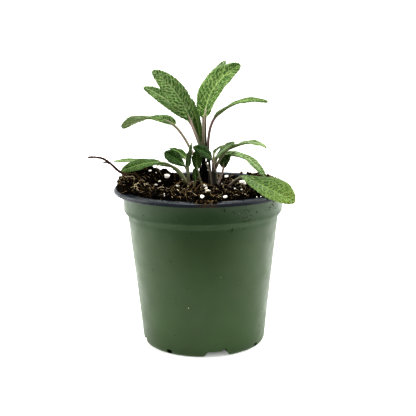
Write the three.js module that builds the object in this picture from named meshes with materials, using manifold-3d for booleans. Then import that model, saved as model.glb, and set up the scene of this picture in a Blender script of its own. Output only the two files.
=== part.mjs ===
// A young sage plant in a nursery pot: three leafy shoots, a low leaf, potting mix and a dry twig.
// Millimetres, +Z up. The origin is the middle of the pot's foot, on the surface that it stands on.
// The front is towards -Y, with +X to its right.
import * as THREE from 'three';
import { mergeVertices } from 'three/addons/utils/BufferGeometryUtils.js';
import Module from 'manifold-3d';

const wasm = await Module();
wasm.setup();

// Pot: a 4.5-inch nursery pot, drawn from thin sheet.
const POT_HEIGHT = 102;
const RIM_RADIUS = 57.15;
const RIM_DEPTH = 2.5;
const NECK_RADIUS = 51.6;
const SHOULDER_TOP = 88.2;
const SHOULDER_TOP_RADIUS = 51;
const SHOULDER_FOOT = 83.2;
const SHOULDER_FOOT_RADIUS = 48.3;
const FOOT_RADIUS = 39.8;
const FOOT_CORNER = 3.5;
const WALL = 0.85;
const POT_SIDES = 48;

// Raised channels under the floor, from a flat middle disc out through the wall. Each has a drain
// hole over one side of its mouth, and there is another at the wall's foot between two channels.
const CHANNEL_COUNT = 4;
const CHANNEL_AZIMUTH = 12;
const CHANNEL_START = 17;
const CHANNEL_WIDTH = 20;
const CHANNEL_TOP_WIDTH = 12;
const CHANNEL_HEIGHT = 3.9;
const MOUTH_HOLE = { azimuth: 19, width: 3.2, heights: [3.4, 5.4] };
const FOOT_HOLE = { azimuth: 56.5, width: 3.6, heights: [0.8, 3.5] };
const HOLE_CORNER = 0.7;

// Potting mix: its level, its heaps and hollows, and what stands out of it.
const GAP = 0.3;
const MIX_LEVEL = 101.2;
const MIX_RADIUS = 57;
const MIX_SEGMENTS = 40;
const MIX_RING = 4.75;
const HEAPS = [
  { at: [-42, 12], spread: [15, 24], height: 11.4 },
  { at: [-23, 14], spread: [12, 13], height: 4.8 },
  { at: [-47, -14], spread: [9, 13], height: 4.5 },
  { at: [-12, 2], spread: [8, 10], height: 2.2 },
  { at: [-18, -30], spread: [16, 12], height: 2 },
  { at: [22, -26], spread: [18, 12], height: 1.6 },
  { at: [34, 26], spread: [17, 16], height: -4 },
  { at: [4, 40], spread: [22, 9], height: -3.5 },
  { at: [4, -53], spread: [7, 6], height: 3.6 },
];
const ROUGHNESS = 0.9;
const GRAIN_COUNT = 18;
const LUMP_COUNT = 6;
const FIBRE_COUNT = 12;
const SEED = 20;

// Stems and leaf blades.
const BLADE_THICKNESS = 0.7;
const BLADE_CELLS = 4;
const STALK_SIDES = 5;
const STALK_STEPS = 6;
const HOLE_CLEARANCE = 0.35;
const BURIED_FOOT = 88;

// Leaves, each by the way it grows. root is where its stalk leaves the stem. stalk gives the
// stalk's length, the azimuth it leaves towards (0 is +X, 90 is +Y) and its rise in degrees. blade
// gives the blade's length, width and fold. pitch is the blade's slope at its base and tip, swing
// how far it turns sideways on the way, and roll how far it is turned about its own midrib.
const LEAVES = {
  main_shoot: {
    upper_left: { root: [-0.5, 1, 125], stalk: [22, 156, 67], blade: [41, 14, 20],
      pitch: [69, 24], swing: -11, roll: [-56, -76] },
    behind_left: { root: [0, 2, 125], stalk: [23, 147, 65], blade: [38.5, 9.5, 12],
      pitch: [42, 17], swing: 5, roll: [-42, -70] },
    upper_right: { root: [2, 0.5, 125], stalk: [25, 74, 96], blade: [40.8, 19, 16],
      pitch: [61, 29], swing: -75, roll: [-22, 56] },
    behind_right: { root: [0.5, 2, 126], stalk: [22, 87, 85], blade: [42, 13, 12],
      pitch: [51, 53], swing: -67, roll: [-18, 28] },
    far_left: { root: [-2.4, 1.5, 115], stalk: [36.5, 147, 59], blade: [35.5, 17.5, 10],
      pitch: [18, -36], swing: 24, roll: [-18, 38] },
    far_right: { root: [3.2, 0, 118], stalk: [30, 322, 88], blade: [38, 8.5, 10],
      pitch: [46, -12], swing: 33, roll: [-4, 32] },
    middle: { root: [0.5, 2, 124], stalk: [4, 121, 73], blade: [32, 7, 18],
      pitch: [70, 58], swing: -3, roll: [-70, -50] },
    front: { root: [0.3, -1, 101], stalk: [15, 222, 65], blade: [11.5, 7, 20],
      pitch: [85, 76], swing: 63, roll: [240, 175] },
  },
  left_shoot: {
    facing: { root: [-9, -1, 108], stalk: [9, 206, 77], blade: [15, 10, 10],
      pitch: [39, 30], swing: -47, roll: [-23, -76] },
    behind: { root: [-9, 1, 108], stalk: [12.5, 130, 86], blade: [13.5, 6.5, 12],
      pitch: [36, 14], swing: 42, roll: [-30, -10] },
    upright: { root: [-9.5, -2, 106], stalk: [10, 272, 68], blade: [16.5, 5.5, 14],
      pitch: [83, 68], swing: 74, roll: [210, 180] },
    long_front: { root: [-9, -3, 103.5], stalk: [23.5, 182, 52], blade: [26.5, 9.2, 10],
      pitch: [2, -24], swing: 22, roll: [-10, -62] },
    long_back: { root: [-9, 0, 102.5], stalk: [17, 159, 57], blade: [40.5, 8, 12],
      pitch: [10, -5], swing: 9, roll: [0, -20] },
    small: { root: [-7, -4, 100], stalk: [8, 300, 48], blade: [9, 5, 12],
      pitch: [85, 59], swing: -75, roll: [210, 250] },
  },
  right_shoot: {
    hooded: { root: [7.5, -3, 112], stalk: [10, 235, 78], blade: [16.5, 8, 10],
      pitch: [40, 19], swing: -36, roll: [-68, -70] },
    bright: { root: [7.5, -2, 115], stalk: [7, 328, 83], blade: [15.5, 6.5, 12],
      pitch: [48, 29], swing: 21, roll: [36, 52] },
    edge: { root: [7, 0, 114], stalk: [10, 80, 96], blade: [11, 5, 12],
      pitch: [23, 21], swing: -75, roll: [-45, 5] },
    long_upper: { root: [8, -1, 113], stalk: [16, -22, 64], blade: [28, 7.5, 10],
      pitch: [35, -33], swing: 64, roll: [-30, 50] },
    long_drooping: { root: [8, 0, 114], stalk: [7.5, 47, 86], blade: [43.5, 12, 10],
      pitch: [11, -60], swing: -37, roll: [-14, 62] },
    shaded: { root: [8.8, -2, 102], stalk: [15.5, 52, 51], blade: [13, 10.5, 12],
      pitch: [84, -13], swing: -34, roll: [8, -6] },
  },
  low_leaf: {
    over_rim: { root: [17, -4, 103], stalk: [15, 315, 38], blade: [46.5, 21, 18],
      pitch: [-12, -9], swing: -13, roll: [-8, 42] },
  },
};

// Each stem's points from its buried foot to its tip, with the radius at both ends.
const STEMS = {
  main_shoot: { points: [[1.5, 1, BURIED_FOOT], [1.2, 1, 100], [0.8, 1, 113], [0.3, 1.3, 127]],
    radius: [1.9, 1.1] },
  left_shoot: { points: [[-8.5, -2, BURIED_FOOT], [-8.8, -2, 100], [-9.4, -1.4, 111]],
    radius: [1.5, 0.8] },
  right_shoot: { points: [[7.5, -2, BURIED_FOOT], [7.8, -2, 103], [7.6, -1.6, 117]],
    radius: [1.8, 1] },
  low_leaf: { points: [[17, -4, BURIED_FOOT + 4], [17, -4, 98], [17.1, -4.1, 103.3]],
    radius: [1, 0.9] },
};
const STEM_SIDES = 8;
const STEM_STEPS = 6;
const STALK_RADIUS = 0.95;
const MIDRIB_TIP_RADIUS = 0.4;
const SMALL_LEAF = 20;
const FOOT_SINK = 2;

// Dry twig stuck in the heap, from its foot up, and the stub of its broken side twig.
const TWIG = {
  points: [[-42, -14, 98], [-44.3, -14, 108.4], [-48.9, -15, 112.5], [-52.6, -16, 115.1],
    [-57, -18, 119.8], [-61.4, -20, 123.3], [-66, -22, 124.6], [-70.2, -24, 124.9]],
  radius: [0.9, 0.6],
};
const TWIG_STUB = { points: [[-57.5, -18.3, 120], [-59.5, -19, 120.9], [-61.5, -19.5, 121]],
  radius: [0.6, 0.45] };
const TWIG_STEPS = 16;

const COLOURS = {
  pot: 0x4a6a45,
  potting_mix: 0x3a2a1e,
  main_shoot: 0x5f8a4a,
  left_shoot: 0x587f45,
  right_shoot: 0x5c8448,
  low_leaf: 0x7c9f58,
  twig: 0x3b2a22,
};

// A solid from a closed geometry, with its shared corners merged.
function solidOf(geometry) {
  const plain = new THREE.BufferGeometry();
  plain.setAttribute('position', geometry.getAttribute('position').clone());
  plain.setIndex(geometry.getIndex());
  const merged = mergeVertices(plain, 1e-4);
  const triangles = [];
  const index = merged.getIndex().array;
  for (let i = 0; i < index.length; i += 3) {
    const [a, b, c] = [index[i], index[i + 1], index[i + 2]];
    if (a !== b && b !== c && c !== a) triangles.push(a, b, c);
  }
  return new wasm.Manifold(new wasm.Mesh({
    numProp: 3,
    vertProperties: new Float32Array(merged.getAttribute('position').array),
    triVerts: new Uint32Array(triangles),
  }));
}

// The largest body of a solid, without the scraps that a cut has left loose.
function largestOf(solid) {
  return solid.decompose().reduce((best, body) => (body.volume() > best.volume() ? body : best));
}

// A named mesh from a finished solid.
function meshOf(name, solid, roughness) {
  const { vertProperties, triVerts } = solid.getMesh();
  const geometry = new THREE.BufferGeometry();
  geometry.setAttribute('position', new THREE.BufferAttribute(new Float32Array(vertProperties), 3));
  geometry.setIndex(new THREE.BufferAttribute(new Uint32Array(triVerts), 1));
  geometry.computeVertexNormals();
  const material = new THREE.MeshStandardMaterial({ color: COLOURS[name], roughness, metalness: 0 });
  const mesh = new THREE.Mesh(geometry, material);
  mesh.name = name;
  return mesh;
}

// A turned solid about the pot's axis, from its outline in radius and height.
function turned(outline, sides = POT_SIDES) {
  const profile = outline.map(([radius, height]) => new THREE.Vector2(radius, height));
  return solidOf(new THREE.LatheGeometry(profile, sides).rotateX(Math.PI / 2));
}

// Repeatable draws between 0 and 1.
function draws(seed) {
  let state = seed;
  return () => {
    state = (state * 1664525 + 1013904223) % 4294967296;
    return state / 4294967296;
  };
}

// The pot's wall from floor to neck as a line of outline points, drawn in by an inset.
function wallLine(inset) {
  const line = [];
  const corner = new THREE.EllipseCurve(FOOT_RADIUS - FOOT_CORNER, FOOT_CORNER,
    FOOT_CORNER - inset, FOOT_CORNER - inset, -Math.PI / 2, 0);
  for (const point of corner.getPoints(2)) line.push([point.x, point.y]);
  const shoulder = new THREE.CubicBezierCurve(
    new THREE.Vector2(SHOULDER_FOOT_RADIUS - inset, SHOULDER_FOOT),
    new THREE.Vector2(SHOULDER_FOOT_RADIUS - inset + 0.2, SHOULDER_FOOT + 2),
    new THREE.Vector2(SHOULDER_TOP_RADIUS - inset - 0.2, SHOULDER_TOP - 2),
    new THREE.Vector2(SHOULDER_TOP_RADIUS - inset, SHOULDER_TOP));
  for (const point of shoulder.getPoints(3)) line.push([point.x, point.y]);
  line.push([NECK_RADIUS - inset, POT_HEIGHT - 1.8]);
  return line;
}

// A channel's form, along -Y before it is turned to its azimuth, grown by a margin all round.
function channel(azimuth, margin) {
  const foot = CHANNEL_WIDTH / 2 + margin;
  const top = CHANNEL_TOP_WIDTH / 2 + margin;
  const height = CHANNEL_HEIGHT + margin;
  const start = CHANNEL_START - margin;
  const outline = new THREE.Shape();
  outline.moveTo(-foot, -1);
  outline.lineTo(foot, -1);
  outline.lineTo(top, height);
  outline.lineTo(-top, height);
  outline.closePath();
  const form = new THREE.ExtrudeGeometry(outline, { depth: RIM_RADIUS, bevelEnabled: false });
  form.rotateX(Math.PI / 2);
  form.translate(0, -start, 0);
  form.rotateZ(THREE.MathUtils.degToRad(azimuth));
  return solidOf(form);
}

// A drain hole's form through the wall, turned to its azimuth: a box with its upper corners cut.
function drainHole({ width, heights }, azimuth) {
  const half = width / 2;
  const [foot, top] = heights;
  const outline = new THREE.Shape();
  outline.moveTo(-half, foot);
  outline.lineTo(half, foot);
  outline.lineTo(half, top - HOLE_CORNER);
  outline.lineTo(half - HOLE_CORNER, top);
  outline.lineTo(HOLE_CORNER - half, top);
  outline.lineTo(-half, top - HOLE_CORNER);
  outline.closePath();
  const form = new THREE.ExtrudeGeometry(outline, { depth: 8, bevelEnabled: false });
  form.rotateX(Math.PI / 2);
  form.translate(0, -(FOOT_RADIUS - 5), 0);
  form.rotateZ(THREE.MathUtils.degToRad(azimuth));
  return solidOf(form);
}

function makePot() {
  const outer = turned([
    [0, 0],
    ...wallLine(0),
    [NECK_RADIUS + 0.5, POT_HEIGHT - 1.1],
    [RIM_RADIUS - 1.6, POT_HEIGHT - 1.2],
    [RIM_RADIUS - 0.9, POT_HEIGHT - RIM_DEPTH],
    [RIM_RADIUS - 0.1, POT_HEIGHT - RIM_DEPTH],
    [RIM_RADIUS, POT_HEIGHT - 1.7],
    [RIM_RADIUS - 0.5, POT_HEIGHT - 0.7],
    [RIM_RADIUS - 1.6, POT_HEIGHT - 0.1],
    [RIM_RADIUS - 3, POT_HEIGHT],
    [0, POT_HEIGHT],
  ]);
  let hollow = turned([
    [0, WALL],
    ...wallLine(WALL),
    [NECK_RADIUS - WALL + 0.2, POT_HEIGHT - 0.6],
    [NECK_RADIUS - WALL + 0.9, POT_HEIGHT + 0.1],
    [0, POT_HEIGHT + 0.1],
  ]);
  let body = outer;
  for (let i = 0; i < CHANNEL_COUNT; i += 1) {
    const azimuth = CHANNEL_AZIMUTH + (360 / CHANNEL_COUNT) * i;
    body = body.subtract(channel(azimuth, 0));
    hollow = hollow.subtract(channel(azimuth, WALL));
  }
  body = body.subtract(hollow);
  for (let i = 0; i < CHANNEL_COUNT; i += 1) {
    const turn = (360 / CHANNEL_COUNT) * i;
    for (const hole of [MOUTH_HOLE, FOOT_HOLE]) {
      body = body.subtract(drainHole(hole, hole.azimuth + turn));
    }
  }
  return body;
}

// The unit direction of a slope above level and an azimuth from +X towards +Y, in degrees.
function heading(pitch, azimuth) {
  const slope = THREE.MathUtils.degToRad(pitch);
  const turn = THREE.MathUtils.degToRad(azimuth);
  return new THREE.Vector3(Math.cos(slope) * Math.cos(turn), Math.cos(slope) * Math.sin(turn),
    Math.sin(slope));
}

// Stations along a leaf, from its root to its tip: a point, the way it grows there, its own left
// and its upper side. run is 0 at the blade's base and 1 at its tip, and below 0 on the stalk.
function stationsOf(leaf, stalkSteps, bladeSteps) {
  const [stalkLength, azimuth, rise] = leaf.stalk;
  const [bladeLength] = leaf.blade;
  const [basePitch, tipPitch] = leaf.pitch;
  const lean = (run) => {
    if (run > 0) return [basePitch + (tipPitch - basePitch) * run, azimuth + leaf.swing * run];
    return [rise + (basePitch - rise) * (1 + run) ** 3, azimuth];
  };
  const stations = [];
  const point = new THREE.Vector3(...leaf.root);
  const steps = stalkSteps + bladeSteps;
  for (let i = 0; i <= steps; i += 1) {
    const onStalk = i <= stalkSteps;
    const run = onStalk ? i / stalkSteps - 1 : (i - stalkSteps) / bladeSteps;
    if (i > 0) {
      const step = onStalk ? 1 / stalkSteps : 1 / bladeSteps;
      const length = (onStalk ? stalkLength : bladeLength) * step;
      point.addScaledVector(heading(...lean(run - step / 2)), length);
    }
    const [pitch, turn] = lean(run);
    const along = heading(pitch, turn);
    const level = heading(0, turn + 90);
    const over = new THREE.Vector3().crossVectors(along, level);
    const roll = THREE.MathUtils.degToRad(
      leaf.roll[0] + (leaf.roll[1] - leaf.roll[0]) * Math.max(0, run));
    stations.push({
      run,
      point: point.clone(),
      along,
      left: level.clone().multiplyScalar(Math.cos(roll)).addScaledVector(over, Math.sin(roll)),
      up: over.clone().multiplyScalar(Math.cos(roll)).addScaledVector(level, -Math.sin(roll)),
    });
  }
  return stations;
}

// A round tapering rod through stations that each have a radius.
function rod(stations, sides) {
  const form = new THREE.CylinderGeometry(1, 1, 1, sides, stations.length - 1);
  const place = form.getAttribute('position');
  for (let i = 0; i < place.count; i += 1) {
    const station = stations[Math.round((place.getY(i) + 0.5) * (stations.length - 1))];
    const point = station.point.clone();
    point.addScaledVector(station.left, place.getX(i) * station.radius);
    point.addScaledVector(station.up, -place.getZ(i) * station.radius);
    place.setXYZ(i, point.x, point.y, point.z);
  }
  return solidOf(form);
}

// A rod along a smooth curve through points, with its radius given at both ends.
function bentRod({ points, radius }, sides, steps, grow = 0) {
  const curve = new THREE.CatmullRomCurve3(points.map((point) => new THREE.Vector3(...point)));
  const frames = curve.computeFrenetFrames(steps);
  const stations = curve.getSpacedPoints(steps).map((point, i) => {
    const left = frames.normals[i];
    const along = frames.tangents[i];
    return {
      point,
      left,
      up: new THREE.Vector3().crossVectors(along, left),
      radius: radius[0] + (radius[1] - radius[0]) * (i / steps) + grow,
    };
  });
  return rod(stations, sides);
}

// Half the blade's width at a run, as a share of its greatest half width: blunt at both ends.
function halfWidth(run) {
  return Math.sin(Math.PI * run ** 0.8) ** 0.62;
}

// A blade as a thin closed sheet: a grid of points on each face, split into triangles alike on
// both, its margin scalloped and its two halves rising from the midrib.
function bladeOf(leaf, stations) {
  const [, width, foldDegrees] = leaf.blade;
  const fold = THREE.MathUtils.degToRad(foldDegrees);
  const rows = stations.length;
  const columns = BLADE_CELLS + 1;
  const places = [];
  for (const side of [-0.5, 0.5]) {
    stations.forEach(({ run, point, left, up }, row) => {
      const scallop = row % 2 === 0 ? 0.97 : 1.03;
      const half = Math.max((width / 2) * halfWidth(run) * scallop, 0.45);
      for (let column = 0; column < columns; column += 1) {
        const across = (column / BLADE_CELLS) * 2 - 1;
        const lift = half * Math.sin(fold) * (1.5 * Math.abs(across) - 0.5 * across * across);
        const ripple = 0.25 * Math.sin(run * 19 + across) * across * across;
        const place = point.clone();
        place.addScaledVector(left, across * half * Math.cos(fold));
        place.addScaledVector(up, lift + ripple + side * BLADE_THICKNESS);
        places.push(place.x, place.y, place.z);
      }
    });
  }
  const corner = (side, row, column) => (side * rows + row) * columns + column;
  const index = [];
  const quad = (a, b, c, d) => index.push(a, b, c, a, c, d);
  const last = rows - 1;
  for (let row = 0; row < last; row += 1) {
    const next = row + 1;
    for (let column = 0; column < BLADE_CELLS; column += 1) {
      quad(corner(1, row, column), corner(1, next, column), corner(1, next, column + 1),
        corner(1, row, column + 1));
      quad(corner(0, row, column), corner(0, row, column + 1), corner(0, next, column + 1),
        corner(0, next, column));
    }
    quad(corner(0, row, 0), corner(0, next, 0), corner(1, next, 0), corner(1, row, 0));
    quad(corner(1, row, BLADE_CELLS), corner(1, next, BLADE_CELLS), corner(0, next, BLADE_CELLS),
      corner(0, row, BLADE_CELLS));
  }
  for (let column = 0; column < BLADE_CELLS; column += 1) {
    const next = column + 1;
    quad(corner(0, 0, column), corner(1, 0, column), corner(1, 0, next), corner(0, 0, next));
    quad(corner(0, last, next), corner(1, last, next), corner(1, last, column),
      corner(0, last, column));
  }
  const form = new THREE.BufferGeometry();
  form.setAttribute('position', new THREE.BufferAttribute(new Float32Array(places), 3));
  form.setIndex(index);
  return solidOf(form);
}

// How many steps a leaf's blade takes along its length.
function bladeStepsOf(leaf) {
  return leaf.blade[0] < SMALL_LEAF ? 6 : 12;
}

// The point inside a stem, a little below a height, where a stalk's foot is sunk.
function footIn(name, height) {
  const { points } = STEMS[name];
  const low = height - FOOT_SINK;
  const above = Math.max(1, points.findIndex((point) => point[2] > low));
  const [from, to] = [new THREE.Vector3(...points[above - 1]), new THREE.Vector3(...points[above])];
  return from.lerp(to, (low - from.z) / (to.z - from.z));
}

// The stations of a leaf's stalk and of the midrib under its blade, with their radius. The midrib
// of a small leaf ends soon after the blade's base.
function spineOf(name, leaf, grow = 0) {
  const isSmall = leaf.blade[0] < SMALL_LEAF;
  const spine = stationsOf(leaf, STALK_STEPS, bladeStepsOf(leaf) / 2).slice(0, isSmall ? -2 : -1);
  spine.unshift({ ...spine[0], point: footIn(name, leaf.root[2]) });
  const slender = isSmall ? 0.8 : 1;
  return spine.map((station) => {
    const share = Math.max(0, station.run);
    const radius = slender * (STALK_RADIUS + (MIDRIB_TIP_RADIUS - STALK_RADIUS) * share ** 0.6);
    const drop = (0.2 - radius) * Math.min(1, share * 6);
    const point = station.point.clone().addScaledVector(station.up, drop);
    return { ...station, point, radius: radius + grow };
  });
}

// A leaf: its blade with the stalk and the midrib under it, which is one tapering rod.
function makeLeaf(name, leaf) {
  const stations = stationsOf(leaf, STALK_STEPS, bladeStepsOf(leaf));
  return bladeOf(leaf, stations.slice(STALK_STEPS)).add(rod(spineOf(name, leaf), STALK_SIDES));
}

function makeShoot(name) {
  let shoot = bentRod(STEMS[name], STEM_SIDES, STEM_STEPS);
  for (const leaf of Object.values(LEAVES[name])) shoot = shoot.add(makeLeaf(name, leaf));
  return shoot;
}

// The mix's level at a place: its heaps and hollows, and the roughness of the broken peat.
function mixLevel(x, y) {
  let level = MIX_LEVEL;
  for (const { at, spread, height } of HEAPS) {
    const away = ((x - at[0]) / spread[0]) ** 2 + ((y - at[1]) / spread[1]) ** 2;
    level += height * Math.exp(-away);
  }
  const rough = Math.sin(x * 0.83 + 1.3) * Math.sin(y * 0.71 + 0.4)
    + 0.8 * Math.sin(x * 0.37 - y * 0.52 + 2) + 0.7 * Math.sin(x * 1.31 + y * 1.17);
  return level + ROUGHNESS * rough;
}

// The mass under the mix's rough top, on a grid of rings about the pot's axis.
function mixMass() {
  const rings = Math.round(MIX_RADIUS / MIX_RING) + 1;
  const outline = [[0, -1]];
  for (let ring = rings; ring > 0; ring -= 1) outline.push([ring * MIX_RING, POT_HEIGHT]);
  outline.splice(1, 0, [rings * MIX_RING, -1]);
  outline.push([0, POT_HEIGHT]);
  const profile = outline.map(([radius, height]) => new THREE.Vector2(radius, height));
  const form = new THREE.LatheGeometry(profile, MIX_SEGMENTS).rotateX(Math.PI / 2);
  const place = form.getAttribute('position');
  for (let i = 0; i < place.count; i += 1) {
    if (place.getZ(i) > 0) place.setZ(i, mixLevel(place.getX(i), place.getY(i)));
  }
  return solidOf(form);
}

// The space that the mix may take: the pot's inside, clear of its wall, and above the rim.
function mixRoom() {
  const inset = WALL + GAP;
  let room = turned([
    [0, inset],
    ...wallLine(inset),
    [NECK_RADIUS - inset, POT_HEIGHT + GAP],
    [RIM_RADIUS - 3, POT_HEIGHT + GAP],
    [MIX_RADIUS, POT_HEIGHT + 2.5],
    [MIX_RADIUS, POT_HEIGHT + 30],
    [0, POT_HEIGHT + 30],
  ]);
  for (let i = 0; i < CHANNEL_COUNT; i += 1) {
    room = room.subtract(channel(CHANNEL_AZIMUTH + (360 / CHANNEL_COUNT) * i, inset));
  }
  return room;
}

// Perlite grains, peat lumps and fibre ends that stand out of the mix, sunk well into it.
function mixPieces() {
  const draw = draws(SEED);
  const pieces = [];
  const spot = (reach) => {
    const radius = reach * Math.sqrt(draw());
    const angle = draw() * Math.PI * 2;
    return [radius * Math.cos(angle), radius * Math.sin(angle)];
  };
  for (let i = 0; i < GRAIN_COUNT + LUMP_COUNT; i += 1) {
    const size = i < GRAIN_COUNT ? 1.1 + 1.3 * draw() : 1.6 + 2 * draw();
    const [x, y] = spot(NECK_RADIUS - 5);
    const form = new THREE.IcosahedronGeometry(size, 0);
    form.scale(1, 0.7 + 0.5 * draw(), 0.6 + 0.3 * draw());
    form.rotateZ(draw() * Math.PI);
    form.translate(x, y, mixLevel(x, y) + size * 0.15);
    pieces.push(solidOf(form));
  }
  for (let i = 0; i < FIBRE_COUNT; i += 1) {
    const [x, y] = spot(NECK_RADIUS - 6);
    const length = 4 + 5 * draw();
    const form = new THREE.ConeGeometry(0.7, length, 4);
    form.rotateX(Math.PI / 2);
    form.rotateY((draw() - 0.5) * 2);
    form.rotateZ(draw() * Math.PI * 2);
    form.translate(x, y, mixLevel(x, y) + length * 0.12);
    pieces.push(solidOf(form));
  }
  return pieces;
}

function makeMix() {
  let mix = mixMass();
  for (const piece of mixPieces()) mix = mix.add(piece);
  mix = mix.intersect(mixRoom());
  for (const name of Object.keys(STEMS)) {
    mix = mix.subtract(bentRod(STEMS[name], STEM_SIDES, STEM_STEPS, HOLE_CLEARANCE));
    for (const leaf of Object.values(LEAVES[name])) {
      mix = mix.subtract(rod(spineOf(name, leaf, HOLE_CLEARANCE), STALK_SIDES));
    }
  }
  mix = mix.subtract(bentRod(TWIG, STALK_SIDES, TWIG_STEPS, HOLE_CLEARANCE));
  return largestOf(mix);
}

function makeTwig() {
  return bentRod(TWIG, STALK_SIDES, TWIG_STEPS).add(bentRod(TWIG_STUB, STALK_SIDES, 2));
}

const sage = new THREE.Group();
sage.add(meshOf('pot', makePot(), 0.45));
sage.add(meshOf('potting_mix', makeMix(), 0.95));
for (const name of Object.keys(STEMS)) sage.add(meshOf(name, makeShoot(name), 0.7));
sage.add(meshOf('twig', makeTwig(), 0.85));

export default sage;
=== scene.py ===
import math

import bpy
import numpy as np
from mathutils import Matrix, Quaternion, Vector


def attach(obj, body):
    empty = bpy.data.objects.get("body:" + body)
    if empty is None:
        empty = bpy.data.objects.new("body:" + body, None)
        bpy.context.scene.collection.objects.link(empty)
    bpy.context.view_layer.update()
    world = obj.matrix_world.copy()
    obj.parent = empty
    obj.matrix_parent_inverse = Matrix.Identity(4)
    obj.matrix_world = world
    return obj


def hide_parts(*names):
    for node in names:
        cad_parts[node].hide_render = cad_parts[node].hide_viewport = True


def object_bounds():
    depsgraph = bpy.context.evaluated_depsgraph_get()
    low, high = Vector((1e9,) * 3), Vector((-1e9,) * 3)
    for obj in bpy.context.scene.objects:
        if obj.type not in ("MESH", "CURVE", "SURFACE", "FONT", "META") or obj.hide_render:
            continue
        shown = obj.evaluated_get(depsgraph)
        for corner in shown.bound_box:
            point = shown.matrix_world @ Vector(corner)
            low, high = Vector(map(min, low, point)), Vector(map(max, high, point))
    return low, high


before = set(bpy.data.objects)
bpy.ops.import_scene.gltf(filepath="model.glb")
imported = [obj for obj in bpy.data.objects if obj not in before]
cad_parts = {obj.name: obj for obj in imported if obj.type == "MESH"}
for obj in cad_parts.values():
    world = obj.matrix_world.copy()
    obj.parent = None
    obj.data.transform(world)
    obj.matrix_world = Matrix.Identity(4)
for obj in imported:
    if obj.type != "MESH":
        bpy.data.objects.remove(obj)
cad_box = [list(corner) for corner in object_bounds()]

# Camera: it stands a little above the top leaves, straight in front of the pot, and looks down
# on it through a long lens. Sizes in this file are millimetres until MM makes them metres.
MM = 0.001
CAMERA_PLACE = (3.2, -600, 213)
CAMERA_DIP = 11.81
CAMERA_ROLL = -0.42
CAMERA_LENS = 82.1
bpy.ops.object.camera_add()
camera = bpy.context.object
camera.data.lens = CAMERA_LENS
camera.data.sensor_width = 36
camera.matrix_world = (
    Matrix.Translation(Vector(CAMERA_PLACE) * MM)
    @ Matrix.Rotation(math.radians(90 - CAMERA_DIP), 4, "X")
    @ Matrix.Rotation(math.radians(CAMERA_ROLL), 4, "Z")
)
bpy.context.scene.camera = camera


# Studio: a wide sheet of white paper that ends a little in front of the pot and glows, but not
# right under it, where the fading glow is a painted shadow, in white air that is dark on the
# camera's side, with three softboxes.
FLOOR_WIDTH = 8000
FLOOR_FRONT = -140
WHITE = (255, 255, 255)
PAPER = (250, 250, 248)
PAPER_GLOW = 0.34
# Distances in mm from the pot's axis over which the paper's glow comes back: a painted shadow under
# the pot.
PAINTED_SHADOW_REACH = (24, 38)
AIR_SHOWN = 1.0
AIR_LIGHT = {"front": 0.5, "back": 0.95, "from": -0.65, "to": 0.2}
PLANT_MIDDLE = (0, 0, 90)
# Each softbox has its place, its width and its power.
SOFTBOXES = {
    "left_softbox": ((-1300, 150, 700), 1100, 9),
    "right_softbox": ((1300, 150, 700), 1100, 9),
    "top_softbox": ((0, -50, 1500), 900, 16),
}


def linear(colour):
    """A colour of 0 to 255 a channel, as a screen shows it, in the shader's linear values."""
    share = np.array(colour) / 255
    low = share / 12.92
    return (*np.where(share <= 0.04045, low, ((share + 0.055) / 1.055) ** 2.4), 1)


def give(socket, value):
    """Gives a socket a number, a colour, or what another node's socket says."""
    if isinstance(value, bpy.types.NodeSocket):
        socket.id_data.links.new(value, socket)
    else:
        socket.default_value = linear(value) if socket.type == "RGBA" else value


def set_node(node, **values):
    """Gives a node's sockets and settings by name, with underscores for spaces."""
    for name, value in values.items():
        socket = node.inputs.get(name.replace("_", " "))
        if socket is None:
            setattr(node, name, value)
        else:
            give(socket, value)
    return node


def add_node(owner, kind, **values):
    """A new node in a finish, or beside one of its sockets."""
    tree = getattr(owner, "node_tree", None) or owner.id_data
    return set_node(tree.nodes.new(kind), **values)


def new_finish(name, colour, roughness, **sockets):
    """A material with its numbers on the shader's own sockets: the material and its shader."""
    material = bpy.data.materials.new(name)
    material.use_nodes = True
    shader = material.node_tree.nodes["Principled BSDF"]
    return material, set_node(shader, Base_Color=colour, Roughness=roughness, **sockets)


def own_place(owner):
    """The place of a point in its piece's own coordinates."""
    return add_node(owner, "ShaderNodeTexCoord").outputs["Object"]


def distance_from(owner, place):
    """How far a point of a piece is from a place that is given in millimetres."""
    node = add_node(owner, "ShaderNodeVectorMath", operation="DISTANCE", Vector=own_place(owner))
    give(node.inputs[1], Vector(place) * MM)
    return node.outputs["Value"]


def grain(owner, size, detail=3.0, roughness=0.55):
    """A noise of that grain size in millimetres, on the piece's own coordinates."""
    return add_node(owner, "ShaderNodeTexNoise", Vector=own_place(owner), Scale=1 / (size * MM),
                    Detail=detail, Roughness=roughness).outputs["Fac"]


def reckoned(operation, first, second=0.0):
    """What a sum, a product or the like makes of a socket and a second one or a number."""
    node = add_node(first, "ShaderNodeMath", operation=operation)
    give(node.inputs[0], first)
    give(node.inputs[1], second)
    return node.outputs["Value"]


def graded(factor, *stops):
    """A colour for each share of a factor."""
    ramp = add_node(factor, "ShaderNodeValToRGB", Fac=factor)
    while len(ramp.color_ramp.elements) < len(stops):
        ramp.color_ramp.elements.new(0.5)
    for element, (share, colour) in zip(ramp.color_ramp.elements, stops):
        element.position = share
        element.color = linear(colour)
    return ramp.outputs["Color"]


def mapped(factor, low, high, to_low=0.0, to_high=1.0):
    """A factor stretched from one range to another, and held inside it."""
    return add_node(factor, "ShaderNodeMapRange", Value=factor, From_Min=low, From_Max=high,
                    To_Min=to_low, To_Max=to_high).outputs["Result"]


def mixed(colour, *layers):
    """A colour with others laid over it in turn, each by a factor of its own."""
    for factor, over in layers:
        mix = add_node(factor, "ShaderNodeMix", data_type="RGBA")
        for value, socket in zip((factor, colour, over), (0, 6, 7)):
            give(mix.inputs[socket], value)
        colour = mix.outputs[2]
    return colour


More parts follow.
